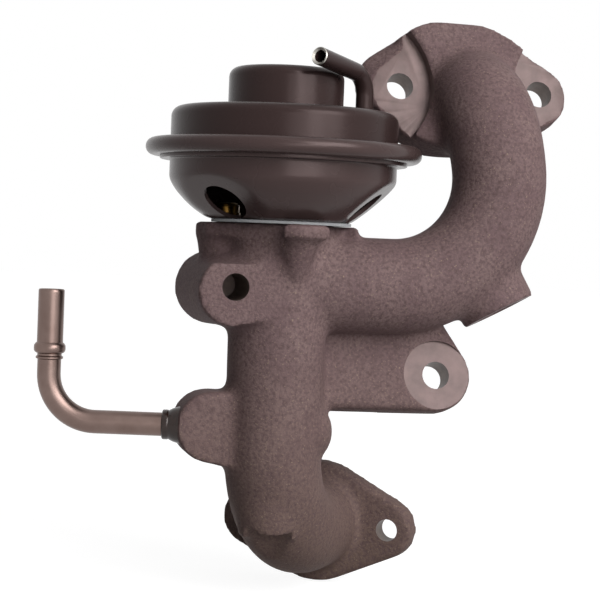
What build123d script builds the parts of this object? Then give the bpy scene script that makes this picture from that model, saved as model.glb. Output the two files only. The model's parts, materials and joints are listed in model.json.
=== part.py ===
from build123d import *
import os
from math import cos, degrees, radians, sin, tan

# Vacuum-operated exhaust gas recirculation valve: an iron casting with a pintle valve in its
# column, a diaphragm actuator on top, a pressure tube on the left and two flanged gas ports.
# Millimetres, +Z up. Every piece is drawn about the valve axis, X = Y = 0, with Z = 0 on the
# machined seat of the actuator. Closed valve. At the end all pieces move together, so that the
# origin is the centre of the outlet port in the face that bolts to the manifold.

# ---- casting: valve column and inlet elbow -----------------------------------------------------
COLUMN_R = 14.7            # outside of the column at the valve seat
COLUMN_TOP_R = 15.6        # outside of the column under the actuator plate
SNOUT_R = 9.0              # flat lower end of the column
SNOUT_Z = -94.5
CHAMBER_R = 10.0           # machined bore from the top down to the valve seat
SEAT_Z = -38.0             # top of the seat ring
SEAT_HEIGHT = 6.0
INLET_BORE_R = 9.2
ELBOW_R = 14.6             # outside of the inlet elbow
ELBOW_BEND = 30.0          # centreline radius of the inlet elbow
INLET_Z = -95.3            # height of the inlet port
INLET_TURN = 33.0          # degrees, direction of the inlet port, from +Y towards +X
INLET_REACH = 47.0         # valve axis to the inlet mounting face
BULGE_R = 10.5
BULGE_AT = (7.6, 0.0, -62.2)

# ---- casting: inlet flange ---------------------------------------------------------------------
INLET_FLANGE = 7.0         # thickness
INLET_HOLE_SPACING = 49.0
INLET_HOLE_R = 3.5
INLET_EAR_SPACING = 45.6   # centres of the ear roundings
INLET_EAR_R = 9.8
INLET_ROUND_R = 19.7
INLET_HOLE_DROP = 0.6      # the bolt line lies this far below the port centre

# ---- casting: outlet pipe and flange -----------------------------------------------------------
PIPE_R = 14.5
PIPE_BORE_R = 10.4
PIPE_Z = -17.5             # horizontal run
PIPE_Y = 1.0
PIPE_CORNER_X = 74.9       # where the horizontal run and the rising run would meet
PIPE_BEND = 33.0           # centreline radius of the lower bend
OUTLET_BEND = 20.0         # centreline radius of the bend into the flange
OUTLET_TILT = 14.0         # degrees, the bolts run back and down by this angle
OUTLET_X = 62.9
OUTLET_Y = 26.0
OUTLET_Z = 42.8            # centre of the outlet port in its mounting face
OUTLET_EAR = 9.4           # thickness of the machined ears
OUTLET_HUB = 13.2          # thickness of the rough middle
OUTLET_HOLE_SPACING = 46.0
OUTLET_HOLE_R = 4.25
OUTLET_EARS = ((-24.0, 2.0, 11.8), (22.3, -0.5, 10.4))   # x, y and radius in the mounting face
OUTLET_ROUNDS = ((-9.0, 0.6, 21.1), (0.5, 0.6, 20.9))
FLANGE_DRAFT = 3.0         # degrees of casting draft on the flanges
CUTTER_R = 24.0            # milling cutter that faces the ears
CUTTER_OFFSET = 14.3       # cutter centre outside the bolt hole

# ---- casting: stub with core plug, web and fixing lug ------------------------------------------
STUB_R = 11.7
STUB_FACE = (70.2, 1.0, -24.4)
STUB_TILT = 26.5           # degrees from straight down towards +X
STUB_FORWARD = 14.0        # degrees from straight down towards -Y
STUB_LENGTH = 22.0
PLUG_R = 6.75
PLUG_DEPTH = 2.6
PLUG_SHEET = 1.6
PLUG_HEIGHT = 3.2
LUG_FACE = Vector(51.2, 2.5, -44.5)   # hole centre in the machined front face of the lug
LUG_R = 11.2
LUG_THICKNESS = 9.4
LUG_HOLE_R = 4.25
WEB_PROUD = 1.2            # the rough web stands this far in front of the machined lug face
SPOT_R = 10.4
WEB_EDGE = 2.5             # rounding of the web
WEB_CORNERS = ((-45.2, -4.8, 6.0), (-45.2, 12.0, 6.0), (-1.5, 14.0, 5.0))   # from the lug hole

# ---- casting: side fixing boss, tube boss, actuator plate --------------------------------------
BOSS_X = -16.2
BOSS_Z = -20.2
BOSS_FRONT_Y = -15.0
BOSS_LENGTH = 42.0
BOSS_PAD = ((-8.0, -15.5, 6.0), (-6.5, -22.5, 6.0))   # x, z and radius of the pad's roundings
BOSS_PAD_DEPTH = 9.0
BOSS_FRONT_R = 10.3
BOSS_BACK_R = 11.6
BOSS_HOLE_X = -15.7
BOSS_HOLE_Z = -18.9
BOSS_HOLE_R = 4.0
BOSS_HOLE_DEPTH = 24.0
TUBE_BOSS_X = -19.6
TUBE_BOSS_R = 10.6
TUBE_Z = -60.9
TUBE_BOSS_FRONT = 6.5
TUBE_BOSS_BACK = 7.5
TUBE_BOSS_ROOT = (-2.0, -63.3, 12.0)   # x, z and radius where the boss leaves the column
PLATE_R = 23.4
PLATE_THICKNESS = 4.4
LOBE_R = 9.0
SCREW_CIRCLE_R = 17.0
SCREW_ANGLES = (-82.0, 38.0, 158.0)
RIBS = ((6.6, 3.0, 4.5), (8.0, 5.0, 4.5), (8.8, 8.0, 1.5))   # under each lobe: top R, foot R, lean
RIB_TOP_Z = -2.6
RIB_FOOT_Z = -17.0
SCREW_R = 2.5
SCREW_DEPTH = 11.0
SCREW_HEAD_R = 4.0
SCREW_HEAD_HEIGHT = 3.0
SCREW_WASHER_R = 4.3
SCREW_WASHER = 0.9

# ---- valve gear ----------------------------------------------------------------------------------
SEAT_THROAT_R = 7.0
SEAT_CHAMFER = 1.6
PINTLE_R = 8.4
PINTLE_HEIGHT = 5.0
SEAT_GAP = 0.2             # clearance kept between pintle and seat, along the axis
PINTLE_OVERHANG = 1.0      # the nose reaches this far below the seat ring
NOSE_TAPER = 2.6
STEM_R = 3.0
STEM_END_R = 2.2
RUNNING_CLEARANCE = 0.05
GUIDE_R = 4.6
GUIDE_TOP_Z = -3.0
GUIDE_LENGTH = 14.0
CARRIER_HEIGHT = 6.5       # guide carrier in the top of the chamber
DEFLECTOR_R = 8.0
DEFLECTOR_HEIGHT = 4.0
DEFLECTOR_SHEET = 1.0
PACKING_R = 5.6
RETAINER_R = 8.5
NUT_HEIGHT = 3.0
NUT_R = 4.2                # over the corners
STEM_WASHER = 1.0
GASKET = 0.8

# ---- diaphragm actuator ------------------------------------------------------------------------
SHEET = 1.2
CAN_R = 34.0
RIM_R = 41.3
RIM_Z = 19.2               # underside of the rim
CURL_DEPTH = 2.6           # the rounded part of the rim
CURL_GRIP = 4.6            # the curl reaches in over the cover this far
CAN_TOP_Z = 33.9
CAN_CORNER = 3.0
CUP_R = 17.25
CUP_TOP_Z = 46.3
CUP_CORNER = 3.0
CUP_FOOT = 1.2             # rounding where the cup rises from the can
BOWL_FOOT_R = 22.0
BOWL_TOP_Z = 15.5          # the bowl is a plain cylinder above this
WINDOW_ANGLES = (-143.0, -23.0, 86.0)
WINDOW_R = 6.9
FACET_R = 24.8             # centre of a window's flat, as radius and height
FACET_Z = 5.4
FACET_FALL = 48.8          # degrees by which a flat faces downwards
SHAFT_HOLE_R = 6.0
DIAPHRAGM_EDGE = 1.4
DIAPHRAGM_SHEET = 0.9
PLATE_LOW_Z = 15.4         # underside of the lower diaphragm plate
PLATE_LOW_R = 23.5
PLATE_UP_R = 21.0
PLATE_SHEET = 1.0
SPRING_R = 12.5
SPRING_WIRE_R = 0.9
SPRING_TURNS = 6.0
INSULATOR_R = 14.0
INSULATOR = 1.5

# ---- vacuum nipple and pressure tube -----------------------------------------------------------
NIPPLE_R = 2.65
NIPPLE_BORE_R = 1.8
NIPPLE_X = 22.7
NIPPLE_Y = -6.0
NIPPLE_BEND_Z = 45.1
NIPPLE_BEND = 7.0
NIPPLE_STANDOFF = 0.6      # the nipple reaches this far into the can
NIPPLE_END = (4.2, -24.0, 48.3)
TUBE_R = 3.5
TUBE_BORE_R = 2.6
TUBE_END_R = 3.85
TUBE_REACH = 37.6          # mouth of the boss to the axis of the upright end
TUBE_TURN = 12.0           # degrees by which the tube leaves its boss towards +Y
TUBE_TOP_Z = -21.9
TUBE_BEND = 14.0
TUBE_SOCKET = 8.0
TUBE_BEAD_Z = -39.4
TUBE_BEAD_R = 4.7
TUBE_BEAD = 3.2            # width of the bead
COLLAR_R = 4.1
COLLAR_WIDTH = 3.2
COLLAR_SEAT = 0.5
SENSE_R = 2.0              # drilled passage from the tube to the inlet bore


# ---- places worked out from the sizes above ----------------------------------------------------
TILT = radians(OUTLET_TILT)
TURN = radians(INLET_TURN)
BOLT_BACK = Vector(0, cos(TILT), -sin(TILT))          # the way the bolts run in the outlet flange
INLET_OUT = Vector(sin(TURN), cos(TURN), 0)           # the way out of the inlet port
OUTLET_PORT = Vector(OUTLET_X, OUTLET_Y, OUTLET_Z)
INLET_PORT = INLET_OUT * INLET_REACH + Vector(0, 0, INLET_Z)
OUTLET_PLANE = Plane(origin=OUTLET_PORT, x_dir=(1, 0, 0), z_dir=-BOLT_BACK)
LUG_PLANE = Plane(origin=LUG_FACE, x_dir=(1, 0, 0), z_dir=-BOLT_BACK)
INLET_PLANE = Plane(origin=INLET_PORT, x_dir=(cos(TURN), -sin(TURN), 0), z_dir=-INLET_OUT)
STUB_OUT = Vector(tan(radians(STUB_TILT)), -tan(radians(STUB_FORWARD)), -1).normalized()
STUB_PLANE = Plane(origin=STUB_FACE, z_dir=-STUB_OUT)
TUBE_BOSS_MOUTH = TUBE_BOSS_R - TUBE_BOSS_X           # valve axis to the mouth of the tube boss
TUBE_PLACE = Pos(-TUBE_BOSS_MOUTH, 0, TUBE_Z) * Rot(0, 0, -TUBE_TURN)   # its -X runs out of the boss
SEAT_BOTTOM_Z = SEAT_Z - SEAT_HEIGHT
CURL_TOP_Z = RIM_Z + 3 * SHEET + DIAPHRAGM_EDGE
FLANGE_TOP_Z = CURL_TOP_Z - SHEET                     # top of the cover's flange under the curl
HOUSING_FLOOR_Z = GASKET + SHEET
STACK_R = RIM_R - SHEET - 0.6                         # edge of the diaphragm and the cover's flange
PINTLE_TOP_Z = SEAT_Z + PINTLE_HEIGHT
NOSE_Z = SEAT_BOTTOM_Z - PINTLE_OVERHANG
STEM_FOOT_Z = NOSE_Z - NUT_HEIGHT
SPRING_FOOT_Z = PLATE_LOW_Z + 2 * PLATE_SHEET + DIAPHRAGM_SHEET
STEM_TOP_Z = SPRING_FOOT_Z + STEM_WASHER + NUT_HEIGHT + 0.5


def revolved(points):
    """Closed outline of (radius, height) points, turned about the valve axis."""
    outline = Polyline(*[(r, 0, z) for r, z in points], close=True)
    return revolve(make_face(outline), Axis.Z)


def ring(outer, inner, bottom, top):
    """Plain ring about the valve axis."""
    return revolved([(inner, bottom), (outer, bottom), (outer, top), (inner, top)])


def disc(radius, bottom, top):
    """Plain cylinder about the valve axis."""
    return Pos(0, 0, bottom) * extrude(Circle(radius), top - bottom)


def rod(start, end, radius, end_radius=None):
    """Round bar between two points, straight or tapered."""
    start, end = Vector(*start), Vector(*end)
    length = (end - start).length
    place = Plane(origin=start, z_dir=end - start)
    if end_radius is None:
        return place * extrude(Circle(radius), length)
    return place * loft([Circle(radius), Pos(0, 0, length) * Circle(end_radius)])


def tube(path, radius):
    """Round bar along a path of lines and tangent arcs."""
    solid = Part()
    for edge in path.edges():
        section = Plane(origin=edge @ 0, z_dir=edge % 0) * Circle(radius)
        if edge.geom_type == GeomType.LINE:
            solid += extrude(section, edge.length)
        else:
            hinge = Axis(edge.arc_center, (edge % 0).cross(edge % 1))
            solid += revolve(section, hinge, degrees(edge.length / edge.radius))
    return solid


def hull(*circles):
    """Outline round several (x, y, radius) circles."""
    return make_hull([edge for x, y, r in circles for edge in (Pos(x, y) * Circle(r)).edges()])


def drafted(circles, height):
    """Flange block on an outline round several circles, narrower towards its front by the draft."""
    inset = height * tan(radians(FLANGE_DRAFT))
    front = hull(*[(x, y, r - inset) for x, y, r in circles])
    return loft([hull(*circles), Pos(0, 0, height) * front])


def around(angles, radius, make):
    """One copy of a piece at each angle on a circle about the valve axis."""
    return [Rot(0, 0, angle) * Pos(radius, 0, 0) * make() for angle in angles]


# ---- casting -------------------------------------------------------------------------------------
def column():
    """Valve column that narrows to its flat lower end."""
    bulk = Spline(
        (COLUMN_TOP_R, 0, -PLATE_THICKNESS),
        (COLUMN_R, 0, SEAT_Z),
        (COLUMN_R - 0.6, 0, -60),
        (COLUMN_R - 2.2, 0, -76),
        (SNOUT_R, 0, SNOUT_Z),
    )
    side = Polyline(
        (SNOUT_R, 0, SNOUT_Z),
        (0, 0, SNOUT_Z),
        (0, 0, -PLATE_THICKNESS),
        (COLUMN_TOP_R, 0, -PLATE_THICKNESS),
    )
    return revolve(make_face([bulk, side]), Axis.Z)


def actuator_plate():
    """Seat plate with three screw lobes that run down into the column."""
    plate = disc(PLATE_R, -PLATE_THICKNESS, 0)
    for angle, (top_r, foot_r, lean) in zip(SCREW_ANGLES, RIBS):
        turn = Rot(0, 0, angle)
        plate += turn * Pos(SCREW_CIRCLE_R, 0, 0) * disc(LOBE_R, -PLATE_THICKNESS, 0)
        foot = (SCREW_CIRCLE_R - lean, 0, RIB_FOOT_Z)
        plate += turn * rod((SCREW_CIRCLE_R, 0, RIB_TOP_Z), foot, top_r, foot_r)
    return plate


def inlet_path(extra):
    """Centreline of the inlet bore: down the column, then out to the flange and beyond it."""
    corner = Vector(0, 0, INLET_Z)
    end = INLET_PORT + INLET_OUT * extra
    return FilletPolyline((0, 0, SEAT_BOTTOM_Z), corner, end, radius=ELBOW_BEND)


def outlet_path(extra):
    """Centreline of the outlet pipe: to the right, up round the U bend, back into the flange."""
    reach = (OUTLET_Y - PIPE_Y) / cos(TILT)
    top = OUTLET_PORT - BOLT_BACK * reach
    end = OUTLET_PORT + BOLT_BACK * extra
    corner = Vector(PIPE_CORNER_X, PIPE_Y, PIPE_Z)
    return FilletPolyline((0, PIPE_Y, PIPE_Z), corner, top, end, radius=(PIPE_BEND, OUTLET_BEND))


def inlet_flange():
    ears = [(side * INLET_EAR_SPACING / 2, -INLET_HOLE_DROP, INLET_EAR_R) for side in (-1, 1)]
    return INLET_PLANE * drafted(ears + [(0, 0, INLET_ROUND_R)], INLET_FLANGE)


def outlet_flange():
    half = OUTLET_HOLE_SPACING / 2
    flange = drafted([*OUTLET_EARS, *OUTLET_ROUNDS], OUTLET_HUB)
    for side in (-1, 1):
        x = side * (half + CUTTER_OFFSET)
        flange -= Pos(x, 0, OUTLET_EAR) * extrude(Circle(CUTTER_R), OUTLET_HUB)
    return OUTLET_PLANE * flange


def web_and_lug():
    """Plate between column, pipe and fixing lug, in the tilted plane of the lug."""
    plate = extrude(hull((0, 0, LUG_R), *WEB_CORNERS), LUG_THICKNESS + WEB_PROUD)
    levels = plate.edges().group_by(Axis.Z)
    plate = fillet(levels[0] + levels[-1], WEB_EDGE)
    plate = Pos(0, 0, -LUG_THICKNESS) * plate
    plate -= extrude(Circle(SPOT_R), WEB_PROUD + 1)
    return LUG_PLANE * plate


def side_boss():
    """Drafted boss, with a flat pad that carries its face across to the front of the column."""
    front = (BOSS_X, BOSS_FRONT_Y, BOSS_Z)
    back = (BOSS_X, BOSS_FRONT_Y + BOSS_LENGTH, BOSS_Z)
    outline = hull((BOSS_X, BOSS_Z, BOSS_FRONT_R), *BOSS_PAD)
    pad = Plane.XZ * Pos(0, 0, -BOSS_FRONT_Y - BOSS_PAD_DEPTH) * extrude(outline, BOSS_PAD_DEPTH)
    return rod(front, back, BOSS_FRONT_R, BOSS_BACK_R) + pad


def tube_boss():
    outline = hull((TUBE_BOSS_X, TUBE_Z, TUBE_BOSS_R), TUBE_BOSS_ROOT)
    slab = extrude(outline, TUBE_BOSS_FRONT + TUBE_BOSS_BACK)
    return Plane.XZ * Pos(0, 0, -TUBE_BOSS_BACK) * slab


def stub():
    return STUB_PLANE * extrude(Circle(STUB_R), STUB_LENGTH)


def body_casting():
    """The whole iron casting with its bores."""
    body = column() + actuator_plate() + Pos(*BULGE_AT) * Sphere(BULGE_R)
    body += tube(inlet_path(0), ELBOW_R)
    body += inlet_flange()
    body += tube(outlet_path(0), PIPE_R)
    body += outlet_flange()
    body += web_and_lug()
    body += stub()
    body += side_boss()
    body += tube_boss()
    body -= disc(CHAMBER_R, SEAT_BOTTOM_Z, 1)
    body -= tube(inlet_path(5), INLET_BORE_R)
    body -= tube(outlet_path(5), PIPE_BORE_R)
    body -= STUB_PLANE * Pos(0, 0, -1) * extrude(Circle(PLUG_R), STUB_LENGTH + 1)
    for hole in screw_holes(SCREW_R, -SCREW_DEPTH, 1):
        body -= hole
    bolt = extrude(Circle(OUTLET_HOLE_R), 2 * OUTLET_HUB, both=True)
    for side in (-1, 1):
        body -= OUTLET_PLANE * Pos(side * OUTLET_HOLE_SPACING / 2, 0) * bolt
    bolt = extrude(Circle(INLET_HOLE_R), 2 * INLET_FLANGE, both=True)
    for side in (-1, 1):
        body -= INLET_PLANE * Pos(side * INLET_HOLE_SPACING / 2, -INLET_HOLE_DROP) * bolt
    body -= LUG_PLANE * extrude(Circle(LUG_HOLE_R), 2 * LUG_THICKNESS, both=True)
    hole_start = (BOSS_HOLE_X, BOSS_FRONT_Y - 1, BOSS_HOLE_Z)
    hole_end = (BOSS_HOLE_X, BOSS_FRONT_Y + BOSS_HOLE_DEPTH, BOSS_HOLE_Z)
    body -= rod(hole_start, hole_end, BOSS_HOLE_R)
    body -= TUBE_PLACE * rod((-COLLAR_WIDTH, 0, 0), (COLLAR_SEAT, 0, 0), COLLAR_R + 0.4)
    body -= TUBE_PLACE * rod((-COLLAR_WIDTH, 0, 0), (TUBE_SOCKET, 0, 0), TUBE_R)
    body -= TUBE_PLACE * rod((0, 0, 0), (TUBE_BOSS_MOUTH, 0, 0), SENSE_R)
    return body


def core_plug():
    """Pressed cup that closes the core opening in the stub."""
    cup = extrude(Circle(PLUG_R), PLUG_HEIGHT)
    cup -= extrude(Circle(PLUG_R - PLUG_SHEET), PLUG_HEIGHT - PLUG_SHEET)
    return STUB_PLANE * Pos(0, 0, PLUG_DEPTH) * cup


# ---- valve gear, drawn closed --------------------------------------------------------------------
def valve_seat():
    """Seat ring pressed on the shoulder of the chamber."""
    return revolved([
        (SEAT_THROAT_R, SEAT_BOTTOM_Z),
        (CHAMBER_R, SEAT_BOTTOM_Z),
        (CHAMBER_R, SEAT_Z),
        (SEAT_THROAT_R + SEAT_CHAMFER, SEAT_Z),
        (SEAT_THROAT_R, SEAT_Z - SEAT_CHAMFER),
    ])


def pintle_head():
    """Pintle with a 45 degree seat face and a tapered nose that meters the gas."""
    face_z = SEAT_Z - SEAT_CHAMFER + SEAT_GAP
    rim_z = face_z + PINTLE_R - SEAT_THROAT_R
    return revolved([
        (STEM_END_R, NOSE_Z),
        (SEAT_THROAT_R - NOSE_TAPER, NOSE_Z),
        (SEAT_THROAT_R - 0.5, face_z - 1.2),
        (SEAT_THROAT_R - 0.1, face_z),
        (PINTLE_R, rim_z),
        (PINTLE_R, rim_z + 1.2),
        (STEM_R + 1.4, PINTLE_TOP_Z),
        (STEM_END_R, PINTLE_TOP_Z),
    ])


def pintle_nut():
    """Peened nut that holds the pintle against the stem's shoulder."""
    return hexagon_nut(NOSE_Z - NUT_HEIGHT)


def hexagon_nut(bottom):
    nut = Pos(0, 0, bottom) * extrude(RegularPolygon(NUT_R, 6), NUT_HEIGHT)
    return nut - disc(STEM_END_R, bottom, bottom + NUT_HEIGHT)


def valve_stem():
    """Stem with a thinner end through the pintle and one through the diaphragm plates."""
    return revolved([
        (0, STEM_FOOT_Z),
        (STEM_END_R, STEM_FOOT_Z),
        (STEM_END_R, PINTLE_TOP_Z),
        (STEM_R, PINTLE_TOP_Z),
        (STEM_R, PLATE_LOW_Z),
        (STEM_END_R, PLATE_LOW_Z),
        (STEM_END_R, STEM_TOP_Z),
        (0, STEM_TOP_Z),
    ])


def guide_carrier():
    """Plug that closes the top of the chamber and carries the guide bush and the packing."""
    bottom = -CARRIER_HEIGHT
    return revolved([
        (GUIDE_R, bottom),
        (CHAMBER_R - 0.8, bottom),
        (CHAMBER_R, bottom + 0.8),
        (CHAMBER_R, 0),
        (PACKING_R, 0),
        (PACKING_R, GUIDE_TOP_Z),
        (GUIDE_R, GUIDE_TOP_Z),
    ])


def stem_guide():
    """Guide bush in which the stem slides."""
    return ring(GUIDE_R, STEM_R + RUNNING_CLEARANCE, GUIDE_TOP_Z - GUIDE_LENGTH, GUIDE_TOP_Z)


def stem_packing():
    return ring(PACKING_R, STEM_R + RUNNING_CLEARANCE, GUIDE_TOP_Z, 0)


def packing_retainer():
    """Washer that the lower housing clamps on the packing."""
    return ring(RETAINER_R, STEM_R + 4 * RUNNING_CLEARANCE, 0, GASKET)


def soot_deflector():
    """Inverted cup on the foot of the guide bush."""
    bottom = GUIDE_TOP_Z - GUIDE_LENGTH
    top = bottom + DEFLECTOR_HEIGHT
    return revolved([
        (GUIDE_R, top - DEFLECTOR_SHEET),
        (DEFLECTOR_R - DEFLECTOR_SHEET, top - DEFLECTOR_SHEET),
        (DEFLECTOR_R - DEFLECTOR_SHEET, bottom),
        (DEFLECTOR_R, bottom),
        (DEFLECTOR_R, top),
        (GUIDE_R, top),
    ])


# ---- diaphragm actuator --------------------------------------------------------------------------
def screw_holes(radius, bottom, top):
    return around(SCREW_ANGLES, SCREW_CIRCLE_R, lambda: disc(radius, bottom, top))


def housing_gasket():
    gasket = ring(BOWL_FOOT_R - 1, RETAINER_R + 0.3, 0, GASKET)
    for hole in screw_holes(SCREW_R + 0.3, -1, GASKET + 1):
        gasket -= hole
    return gasket


def bowl(inset):
    """Solid bowl of the lower housing, its wall moved inwards by the inset, with three flats."""
    wall = CAN_R - inset
    floor = GASKET + inset
    foot = BOWL_FOOT_R - inset * 0.6
    side = Spline(
        (foot, 0, floor),
        (FACET_R + 2.9 - inset * 0.72, 0, FACET_Z - 1.0 + inset * 0.68),
        (CAN_R - 1.8 - inset * 0.9, 0, FACET_Z + 4.0 + inset * 0.35),
        (wall, 0, BOWL_TOP_Z),
        tangents=[(0.85, 0, 0.55), (0, 0, 1)],
    )
    rest = Polyline(
        (wall, 0, BOWL_TOP_Z),
        (wall, 0, RIM_Z + SHEET),
        (0, 0, RIM_Z + SHEET),
        (0, 0, floor),
        (foot, 0, floor),
    )
    solid = revolve(make_face([side, rest]), Axis.Z)
    beyond = extrude(Rectangle(2 * CAN_R, 2 * CAN_R), CAN_R)
    for angle in WINDOW_ANGLES:
        solid -= window_place(angle) * Pos(0, 0, -inset) * beyond
    return solid


def window_place(angle):
    """Plane on a window's flat, its normal pointing out and down."""
    fall = radians(FACET_FALL)
    flat = Plane(origin=(FACET_R, 0, FACET_Z), x_dir=(0, 1, 0), z_dir=(cos(fall), 0, -sin(fall)))
    return Rot(0, 0, angle) * flat.location


def lower_housing():
    """Pressed bowl with three windows, whose rim is rolled over the cover and the diaphragm."""
    shell = bowl(0) - bowl(SHEET)
    shell -= disc(SHAFT_HOLE_R, 0, HOUSING_FLOOR_Z + 1)
    for hole in screw_holes(SCREW_R + 0.2, 0, HOUSING_FLOOR_Z + 1):
        shell -= hole
    for angle in WINDOW_ANGLES:
        shell -= window_place(angle) * extrude(Circle(WINDOW_R), 6, both=True)
    return shell + rolled_rim()


def rolled_rim():
    """Flange of the bowl and the curl that grips the stack above it."""
    under = (RIM_R - CURL_DEPTH, 0, RIM_Z)
    over = (RIM_R - CURL_DEPTH, 0, CURL_TOP_Z)
    outer = Line((CAN_R, 0, RIM_Z), under)
    round_side = ThreePointArc(under, (RIM_R, 0, (RIM_Z + CURL_TOP_Z) / 2), over)
    inside = Polyline(
        over,
        (RIM_R - CURL_GRIP, 0, CURL_TOP_Z),
        (RIM_R - CURL_GRIP, 0, FLANGE_TOP_Z),
        (STACK_R, 0, FLANGE_TOP_Z),
        (STACK_R, 0, RIM_Z + SHEET),
        (CAN_R - SHEET, 0, RIM_Z + SHEET),
        (CAN_R - SHEET, 0, RIM_Z),
        (CAN_R, 0, RIM_Z),
    )
    return revolve(make_face([outer, round_side, inside]), Axis.Z)


def upper_cover():
    """Pressed can with the spring cup; its flange lies on the diaphragm."""
    bottom = FLANGE_TOP_Z - SHEET
    outer = revolved([
        (0, bottom),
        (STACK_R, bottom),
        (STACK_R, FLANGE_TOP_Z),
        (CAN_R, FLANGE_TOP_Z),
        (CAN_R, CAN_TOP_Z),
        (CUP_R, CAN_TOP_Z),
        (CUP_R, CUP_TOP_Z),
        (0, CUP_TOP_Z),
    ])
    can_edge, cup_edge = (CAN_R, CAN_TOP_Z, CAN_CORNER), (CUP_R, CUP_TOP_Z, CUP_CORNER)
    outer = rounded_rings(outer, (can_edge, cup_edge, (CUP_R, CAN_TOP_Z, CUP_FOOT)))
    inner = revolved([
        (0, bottom - 1),
        (CAN_R - SHEET, bottom - 1),
        (CAN_R - SHEET, CAN_TOP_Z - SHEET),
        (CUP_R - SHEET, CAN_TOP_Z - SHEET),
        (CUP_R - SHEET, CUP_TOP_Z - SHEET),
        (0, CUP_TOP_Z - SHEET),
    ])
    tops = [[size - SHEET for size in edge] for edge in (can_edge, cup_edge)]
    cover = outer - rounded_rings(inner, tops)
    return cover - Pos(NIPPLE_X, NIPPLE_Y, 0) * disc(NIPPLE_R, CAN_TOP_Z - CAN_CORNER, CAN_TOP_Z)


def rounded_rings(solid, corners):
    """Rounds the circular edges at the given (radius, height, rounding)."""
    for radius, height, rounding in corners:
        level = solid.edges().filter_by_position(Axis.Z, height - 0.01, height + 0.01)
        solid = fillet([edge for edge in level if abs(edge.radius - radius) < 0.01], rounding)
    return solid


def housing_screws():
    """Three pan head screws that fix the housing to the casting."""
    head_z = HOUSING_FLOOR_Z + SCREW_WASHER
    shank = disc(SCREW_R, -SCREW_DEPTH, head_z)
    head = disc(SCREW_HEAD_R, head_z, head_z + SCREW_HEAD_HEIGHT)
    head = chamfer(head.edges().group_by(Axis.Z)[-1], SCREW_HEAD_HEIGHT / 3)
    return around(SCREW_ANGLES, SCREW_CIRCLE_R, lambda: shank + head)


def screw_washers():
    washer = ring(SCREW_WASHER_R, SCREW_R, HOUSING_FLOOR_Z, HOUSING_FLOOR_Z + SCREW_WASHER)
    return around(SCREW_ANGLES, SCREW_CIRCLE_R, lambda: washer)


def diaphragm():
    """Rubber diaphragm: clamped edge, one rolled convolution and the flat middle."""
    edge = RIM_Z + SHEET
    low, high = PLATE_LOW_Z + PLATE_SHEET, PLATE_LOW_Z + PLATE_SHEET + DIAPHRAGM_SHEET
    return revolved([
        (STEM_END_R, low),
        (PLATE_LOW_R - 0.5, low),
        (PLATE_LOW_R + 3.0, low + 3.6),
        (CAN_R - SHEET - 3.0, edge + 1.2),
        (CAN_R - SHEET - 1.0, edge),
        (STACK_R, edge),
        (STACK_R, edge + DIAPHRAGM_EDGE),
        (CAN_R - SHEET - 1.2, edge + DIAPHRAGM_EDGE),
        (CAN_R - SHEET - 3.4, edge + DIAPHRAGM_EDGE + 0.2),
        (PLATE_LOW_R + 2.2, high + 3.8),
        (PLATE_UP_R + 1.0, high),
        (STEM_END_R, high),
    ])


def diaphragm_plate_lower():
    """Dished plate under the diaphragm."""
    low, high = PLATE_LOW_Z, PLATE_LOW_Z + PLATE_SHEET
    return revolved([
        (STEM_END_R, low),
        (PLATE_LOW_R - 1.6, low),
        (PLATE_LOW_R, low - 1.4),
        (PLATE_LOW_R + 0.8, low - 0.8),
        (PLATE_LOW_R - 1.0, high),
        (STEM_END_R, high),
    ])


def diaphragm_plate_upper():
    """Cupped plate on the diaphragm that seats the spring."""
    low = PLATE_LOW_Z + PLATE_SHEET + DIAPHRAGM_SHEET
    high = low + PLATE_SHEET
    return revolved([
        (STEM_END_R, low),
        (PLATE_UP_R - 1.0, low),
        (PLATE_UP_R, low + 1.0),
        (PLATE_UP_R, low + 3.0),
        (PLATE_UP_R - PLATE_SHEET, low + 3.0),
        (PLATE_UP_R - PLATE_SHEET, high + 0.6),
        (PLATE_UP_R - PLATE_SHEET - 0.6, high),
        (STEM_END_R, high),
    ])


def stem_washer():
    return ring(NUT_R + 1.6, STEM_END_R, SPRING_FOOT_Z, SPRING_FOOT_Z + STEM_WASHER)


def stem_nut():
    """Nut that clamps the plates and the diaphragm on the stem."""
    return hexagon_nut(SPRING_FOOT_Z + STEM_WASHER)


def spring_insulator():
    """Heat insulating ring between the spring and the cup."""
    return ring(INSULATOR_R, SPRING_R - 3, CUP_TOP_Z - SHEET - INSULATOR, CUP_TOP_Z - SHEET)


def return_spring():
    """Compression spring between the upper plate and the insulator."""
    bottom = SPRING_FOOT_Z + SPRING_WIRE_R + 0.05
    height = CUP_TOP_Z - SHEET - INSULATOR - SPRING_WIRE_R - 0.05 - bottom
    coil = Helix(height / SPRING_TURNS, height, SPRING_R)
    section = Plane(origin=coil @ 0, z_dir=coil % 0) * RegularPolygon(SPRING_WIRE_R, 6)
    return Pos(0, 0, bottom) * sweep(section, path=coil, is_frenet=True)


# ---- tubes ---------------------------------------------------------------------------------------
def vacuum_nipple():
    """Thin tube brazed into the cover."""
    foot = (NIPPLE_X, NIPPLE_Y, CAN_TOP_Z - SHEET - NIPPLE_STANDOFF)
    route = FilletPolyline(foot, (NIPPLE_X, NIPPLE_Y, NIPPLE_BEND_Z), NIPPLE_END, radius=NIPPLE_BEND)
    return tube(route, NIPPLE_R) - tube(route, NIPPLE_BORE_R)


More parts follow.
